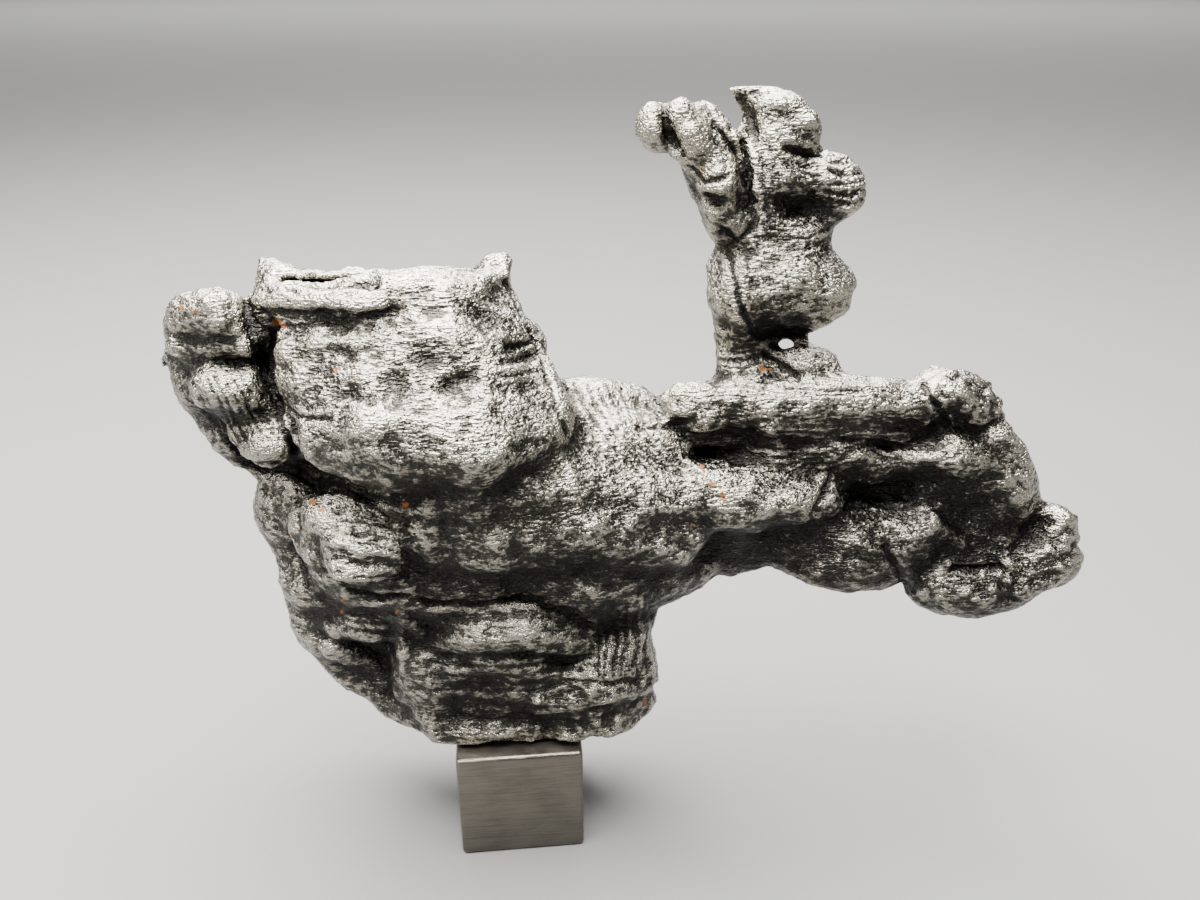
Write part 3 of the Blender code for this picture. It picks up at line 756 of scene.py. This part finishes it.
class Finish:
    """A material's node tree, built a node at a time."""

    def __init__(self, name):
        self.material = bpy.data.materials.new(name)
        self.material.use_nodes = True
        self.tree = self.material.node_tree
        self.shader = self.tree.nodes["Principled BSDF"]
        self.place = self.node("ShaderNodeTexCoord").outputs["Object"]

    def node(self, kind, **settings):
        made = self.tree.nodes.new(kind)
        for key, value in settings.items():
            setattr(made, key, value)
        return made

    def join(self, source, target):
        self.tree.links.new(source, target)

    def feed(self, target, value):
        """Sets a socket to a value, or links another socket to it."""
        if isinstance(value, bpy.types.NodeSocket):
            self.join(value, target)
        else:
            target.default_value = value

    def stretched(self, scale, sway=None):
        """The place in millimetres, stretched by three factors and swayed by a noise."""
        spot = self.node("ShaderNodeVectorMath", operation="MULTIPLY")
        self.join(self.place, spot.inputs[0])
        spot.inputs[1].default_value = [factor / MM for factor in scale]
        if sway is None:
            return spot.outputs[0]
        total = self.node("ShaderNodeVectorMath", operation="ADD")
        self.join(spot.outputs[0], total.inputs[0])
        self.join(sway, total.inputs[1])
        return total.outputs[0]

    def noise(self, spot, scale=1.0, detail=2.0, roughness=0.5):
        made = self.node("ShaderNodeTexNoise")
        self.join(spot, made.inputs["Vector"])
        made.inputs["Scale"].default_value = scale
        made.inputs["Detail"].default_value = detail
        made.inputs["Roughness"].default_value = roughness
        return made.outputs["Fac"]

    def sway(self, scale, reach):
        """A soft wandering offset, reach stretched units at most each way."""
        made = self.node("ShaderNodeTexNoise")
        self.join(self.stretched((1, 1, 1)), made.inputs["Vector"])
        made.inputs["Scale"].default_value = scale
        made.inputs["Detail"].default_value = 1.0
        shift = self.node("ShaderNodeVectorMath", operation="SCALE")
        self.join(made.outputs["Color"], shift.inputs[0])
        shift.inputs["Scale"].default_value = reach
        return shift.outputs[0]

    def math(self, operation, *values):
        made = self.node("ShaderNodeMath", operation=operation)
        for socket, value in zip(made.inputs, values):
            self.feed(socket, value)
        return made.outputs[0]

    def ramp(self, value, low, high, to_low=0.0, to_high=1.0):
        """The value carried smoothly from one span to another."""
        made = self.node("ShaderNodeMapRange", interpolation_type="SMOOTHSTEP")
        for socket, number in zip(made.inputs, (value, low, high, to_low, to_high)):
            self.feed(socket, number)
        return made.outputs[0]

    def blend(self, share, first, second):
        made = self.node("ShaderNodeMix", data_type="RGBA")
        self.feed(made.inputs["Factor"], share)
        for socket, colour in (("A", first), ("B", second)):
            target = next(item for item in made.inputs if item.name == socket and item.type == "RGBA")
            self.feed(target, colour if isinstance(colour, bpy.types.NodeSocket) else (*colour, 1.0))
        return next(item for item in made.outputs if item.type == "RGBA")

    def weighted(self, *parts):
        """The sum of some values, each times its weight."""
        total = None
        for value, weight in parts:
            part = self.math("MULTIPLY", value, weight)
            total = part if total is None else self.math("ADD", total, part)
        return total

    def stored(self, name):
        """A value stored with each point of the mesh."""
        return self.node("ShaderNodeAttribute", attribute_name=name).outputs["Fac"]

    def bump(self, height, distance):
        made = self.node("ShaderNodeBump")
        self.join(height, made.inputs["Height"])
        made.inputs["Distance"].default_value = distance
        return made.outputs["Normal"]


def meteorite_finish(stone):
    """Dark natural iron, bright where worn, crusted in the creases, specked with rust, sawn behind;
    with painted shade on the undersides and in hollows, and painted sheen on the tops.
    """
    iron = Finish("meteorite iron")
    sway = iron.sway(0.25, 5.0)
    even = iron.stretched((1, 1, 1))
    streaks = iron.noise(iron.stretched((1.5, 4.6, 5.2), sway), 1.0, 2.0, 0.55)
    fine_streaks = iron.noise(iron.stretched((3.6, 11.0, 12.0), sway), 1.0, 1.0, 0.5)
    grit = iron.noise(even, 4.5, 2.0, 0.6)
    patches = iron.noise(even, 0.45, 3.0, 0.55)
    near, wide, broad = (iron.stored("sunken_" + reach) for reach in ("near", "wide", "broad"))
    painted_shade_and_sheen, rust_spots, sawn = (iron.stored(name) for name in ("painted_shade_and_sheen", "rust", "sawn"))

    # The crust colour is in part the dark crust that the iron holds in its creases, and in part painted
    # shade in the broad hollows, on the undersides and at the shaded places
    depth = iron.weighted((wide, 0.35), (broad, 0.7), (patches, 0.4), (painted_shade_and_sheen, 1.1))
    sparks = iron.weighted((fine_streaks, 0.5), (grit, 0.5))
    crust_and_shade = iron.math("MULTIPLY", iron.ramp(depth, -0.1, 0.95), iron.ramp(sparks, 0.5, 0.6, 1.0, 0.45))
    crests = iron.weighted((streaks, 0.6), (grit, 0.4))
    # Worn bright metal on the crests, with painted sheen on the tops and at the bright places, and less
    # of it on the undersides
    low = iron.weighted((near, 0.05), (broad, 0.1), (painted_shade_and_sheen, 0.12))
    worn_and_sheen = iron.ramp(iron.math("SUBTRACT", crests, low), 0.47, 0.66)
    metal = iron.blend(worn_and_sheen, stone.body, stone.bright)
    skin = iron.blend(crust_and_shade, metal, stone.dark)

    specks = iron.ramp(iron.weighted((rust_spots, 1.0), (grit, 0.9)), 1.0, 1.3)
    stray = iron.ramp(iron.noise(even, 0.9, 4.0, 0.7), 0.72, 0.78)
    rust = iron.math("MAXIMUM", specks, iron.math("MULTIPLY", stray, 0.6))
    natural_colour = iron.blend(rust, skin, stone.rust)
    saw_lines = iron.noise(iron.stretched((0.12, 1, 5.0)), 1.0, 3.0, 0.6)
    cut_colour = iron.blend(iron.ramp(saw_lines, 0.35, 0.65), (0.2, 0.195, 0.185), (0.3, 0.294, 0.28))
    iron.join(iron.blend(sawn, natural_colour, cut_colour), iron.shader.inputs["Base Color"])

    metallic = iron.math("SUBTRACT", 1.0, iron.math("MULTIPLY", rust, 0.8))
    iron.join(metallic, iron.shader.inputs["Metallic"])
    gloss = iron.ramp(grit, 0.3, 0.7, 0.2, 0.3)
    roughness = iron.weighted((gloss, 1.0), (crust_and_shade, 0.1), (rust, 0.4), (sawn, 0.15))
    iron.join(roughness, iron.shader.inputs["Roughness"])

    height = iron.weighted((streaks, 1.0), (fine_streaks, 0.3), (grit, 0.4))
    natural = iron.math("MULTIPLY", height, iron.math("SUBTRACT", 1.0, sawn))
    cut = iron.math("MULTIPLY", iron.math("MULTIPLY", saw_lines, sawn), 0.1)
    iron.join(iron.bump(iron.math("ADD", natural, cut), 0.00024), iron.shader.inputs["Normal"])
    return iron.material


def steel_finish(cube):
    """Brushed steel with fine level lines, duller patches and a few scratches."""
    steel = Finish("brushed steel")
    lines = steel.noise(steel.stretched((0.25, 0.25, 7.0)), 1.0, 3.0, 0.65)
    fine = steel.noise(steel.stretched((0.8, 0.8, 22.0)), 1.0, 2.0, 0.5)
    cloud = steel.noise(steel.stretched((1, 1, 1)), 0.35, 3.0, 0.55)
    shade = steel.ramp(steel.weighted((lines, 1.0), (cloud, 0.6)), 0.5, 1.05)
    dull = [0.62 * part for part in cube.steel]
    steel.join(steel.blend(shade, dull, cube.steel), steel.shader.inputs["Base Color"])
    steel.shader.inputs["Metallic"].default_value = 1.0
    steel.join(steel.ramp(lines, 0.3, 0.7, 0.3, 0.46), steel.shader.inputs["Roughness"])
    slant = steel.noise(steel.stretched((2.2, 2.2, 0.5), steel.sway(0.4, 3.0)), 1.0, 1.0, 0.5)
    off_line = steel.math("ABSOLUTE", steel.math("SUBTRACT", slant, 0.5))
    scratches = steel.ramp(off_line, 0.0, 0.006, -0.4, 0.0)
    height = steel.weighted((lines, 1.0), (fine, 0.5), (scratches, 1.0))
    steel.join(steel.bump(height, 0.00003), steel.shader.inputs["Normal"])
    return steel.material


def floor_finish(stage):
    """Matt pale studio card."""
    card = Finish("pale card")
    tone = card.noise(card.stretched((1, 1, 1)), 0.02, 2.0, 0.5)
    light = list(stage.floor_colour)
    shade = [0.96 * part for part in light]
    card.join(card.blend(tone, shade, light), card.shader.inputs["Base Color"])
    card.shader.inputs["Roughness"].default_value = 0.85
    return card.material


# Operators

class OBJECT_OT_end_cut_stone(bpy.types.Operator):
    """Sculpts the meteorite over its solid"""

    bl_idname = "object.end_cut_stone"
    bl_label = "Build Meteorite"

    def execute(self, context):
        stone = context.scene.end_cut_stone
        mesh = remeshed(*add_lumps(solid_in_mm("meteorite")), stone.skin)
        plain = mesh_points(mesh)
        points = press_strokes(plain, mesh_normals(mesh))
        set_points(mesh, points)
        points = sawn_flat(furrowed(points, mesh_normals(mesh), stone), plain, "meteorite")
        set_points(mesh, inside_solid_box(points, "meteorite"))
        mesh = thinned(mesh, stone.triangles)
        set_points(mesh, inside_solid_box(mesh_points(mesh), "meteorite"))
        store_relief(mesh, "meteorite")
        shade(mesh, "meteorite")
        mesh.transform(Matrix.Scale(MM, 4))
        piece = new_piece("meteorite_skin", mesh)
        mesh.materials.clear()
        mesh.materials.append(meteorite_finish(stone))
        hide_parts("meteorite")
        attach(piece, "root")
        return {"FINISHED"}


class OBJECT_OT_end_cut_cube(bpy.types.Operator):
    """Builds the steel cube with its eased edges"""

    bl_idname = "object.end_cut_cube"
    bl_label = "Build Steel Cube"

    def execute(self, context):
        cube = context.scene.end_cut_cube
        bm = bmesh.new()
        turn = Matrix.Rotation(cube.turn, 4, "Z") @ Matrix.Translation((0, 0, cube.side / 2))
        bmesh.ops.create_cube(bm, size=cube.side, matrix=turn)
        bmesh.ops.bevel(bm, geom=bm.edges[:], offset=cube.edge, segments=4, profile=0.5, affect="EDGES")
        mesh = bpy.data.meshes.new("steel_cube")
        bm.to_mesh(mesh)
        bm.free()
        mesh.shade_smooth()
        mesh.set_sharp_from_angle(angle=radians(35))
        piece = new_piece("steel_cube", mesh)
        mesh.materials.append(steel_finish(cube))
        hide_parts("stand_cube")
        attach(piece, "root")
        return {"FINISHED"}


def add_light(name, place, aim, size, power, colour):
    """A soft light with four corners, its place, aim and size in metres."""
    lamp = bpy.data.lights.new(name, "AREA")
    lamp.shape = "RECTANGLE"
    lamp.size, lamp.size_y = size
    lamp.energy = power
    lamp.color = colour
    light = new_piece(name, lamp)
    light.location = place
    light.rotation_euler = (Vector(aim) - Vector(place)).to_track_quat("-Z", "Y").to_euler()
    return light


class OBJECT_OT_end_cut_stage(bpy.types.Operator):
    """Lays the floor, hangs the soft lights and sets the camera"""

    bl_idname = "object.end_cut_stage"
    bl_label = "Build Stage"

    def execute(self, context):
        stage = context.scene.end_cut_stage
        bm = bmesh.new()
        bmesh.ops.create_grid(bm, x_segments=12, y_segments=12, size=3.0)
        mesh = bpy.data.meshes.new("floor")
        bm.to_mesh(mesh)
        bm.free()
        floor = new_piece("floor", mesh)
        mesh.materials.append(floor_finish(stage))

        centre = (0.008, 0.0, 0.03)
        far_floor = (0.0, 1.5, 0.0)
        warm_white, white, warm = (1.0, 0.98, 0.95), (1.0, 0.99, 0.97), (1.0, 0.97, 0.93)
        add_light("key", (-0.03, 0.02, 0.29), centre, (0.24, 0.3), stage.key_power, warm_white)
        add_light("back", (0.0, 1.6, 0.8), far_floor, (2.4, 0.9), stage.back_power, white)
        add_light("side", (-0.22, -0.14, 0.2), centre, (0.15, 0.15), stage.fill_power, warm)

        world = bpy.data.worlds.new("studio")
        world.use_nodes = True
        background = world.node_tree.nodes["Background"]
        background.inputs["Color"].default_value = (*white, 1.0)
        background.inputs["Strength"].default_value = stage.surround
        context.scene.world = world

        lens = bpy.data.cameras.new("camera")
        lens.sensor_width = 36.0
        lens.lens = 36.0 * LENS_PIXELS / FRAME_WIDTH
        lens.clip_start = 0.002
        lens.clip_end = 20.0
        camera = new_piece("camera", lens)
        camera.location = EYE * MM
        camera.rotation_euler = (pi / 2 - EYE_PITCH, 0.0, 0.0)
        context.scene.camera = camera
        return {"FINISHED"}


class VIEW3D_PT_end_cut(bpy.types.Panel):
    """Lists the sizes, the colours and the operators"""

    bl_label = "End Cut"
    bl_space_type = "VIEW_3D"
    bl_region_type = "UI"
    bl_category = "End Cut"

    def draw(self, context):
        scene = context.scene
        for title, group, operator in (
            ("Meteorite", scene.end_cut_stone, "object.end_cut_stone"),
            ("Steel cube", scene.end_cut_cube, "object.end_cut_cube"),
            ("Stage", scene.end_cut_stage, "object.end_cut_stage"),
        ):
            box = self.layout.box()
            box.label(text=title)
            for name in group.__annotations__:
                box.prop(group, name)
            box.operator(operator)


CLASSES = (
    EndCutStone,
    EndCutCube,
    EndCutStage,
    OBJECT_OT_end_cut_stone,
    OBJECT_OT_end_cut_cube,
    OBJECT_OT_end_cut_stage,
    VIEW3D_PT_end_cut,
)


def register():
    for item in CLASSES:
        bpy.utils.register_class(item)
    bpy.types.Scene.end_cut_stone = bpy.props.PointerProperty(type=EndCutStone)
    bpy.types.Scene.end_cut_cube = bpy.props.PointerProperty(type=EndCutCube)
    bpy.types.Scene.end_cut_stage = bpy.props.PointerProperty(type=EndCutStage)


def unregister():
    del bpy.types.Scene.end_cut_stage
    del bpy.types.Scene.end_cut_cube
    del bpy.types.Scene.end_cut_stone
    for item in reversed(CLASSES):
        bpy.utils.unregister_class(item)


def main():
    register()
    bpy.ops.object.end_cut_stone()
    bpy.ops.object.end_cut_cube()
    bpy.ops.object.end_cut_stage()


if __name__ == "__main__":
    main()
